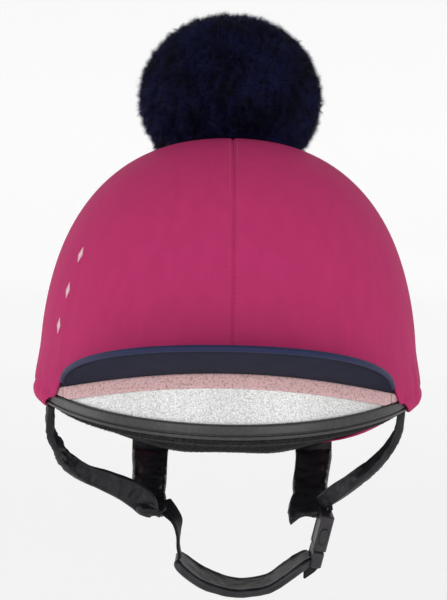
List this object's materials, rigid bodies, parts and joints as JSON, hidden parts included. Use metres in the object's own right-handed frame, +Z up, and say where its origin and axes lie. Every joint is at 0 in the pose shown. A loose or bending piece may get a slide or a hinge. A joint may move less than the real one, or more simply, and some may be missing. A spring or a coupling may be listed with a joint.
{
  "type": "jockey cap",
  "caption": "Jockey cap: skull helmet with rubber rim and padded lining, silk cover with peak, hem band and fur pompom, and a buckled leather chin harness.",
  "frame": {"origin": "middle of the head opening, level with the front of the rim", "axes": "+Z up through the crown, -Y to the front where the peak is, +X to the right of someone who faces the cap"},
  "size_m": [0.22, 0.3016, 0.3409],
  "materials": {
    "silver_shell": "clear lacquer over silver glitter",
    "rim_rubber": "satin",
    "lining_cloth": "brushed pile",
    "raspberry_silk": "fine stretch satin",
    "pink_band": "soft knitted pile",
    "navy_cloth": "matt stretch cloth",
    "navy_piping": "satin roll",
    "navy_fur": "dense fur",
    "black_leather": "soft grain, slight shine",
    "chin_leather": "soft grain, slight shine",
    "black_webbing": "woven",
    "buckle_plastic": "moulded, satin"
  },
  "bodies": {
    "root": {"shell": "silver_shell", "rim_trim": "rim_rubber", "lining": "lining_cloth", "crown_front_left": "raspberry_silk", "crown_back_left": "raspberry_silk", "crown_front_right": "raspberry_silk", "crown_back_right": "raspberry_silk", "hem_band": "pink_band", "peak": "navy_cloth", "peak_piping": "navy_piping", "pompom": "navy_fur", "front_strap_left": "black_leather", "rear_strap_left": "black_leather", "junction_left": "black_leather", "front_strap_right": "black_leather", "rear_strap_right": "black_leather", "junction_right": "black_leather", "chin_web_left": "black_webbing", "chin_pad": "chin_leather", "chin_web_right": "black_webbing", "strap_tail": "black_webbing", "buckle_socket": "buckle_plastic", "buckle_plug": "buckle_plastic", "buckle_tab_front": "buckle_plastic", "buckle_tab_back": "buckle_plastic"}
  },
  "joints": []
}
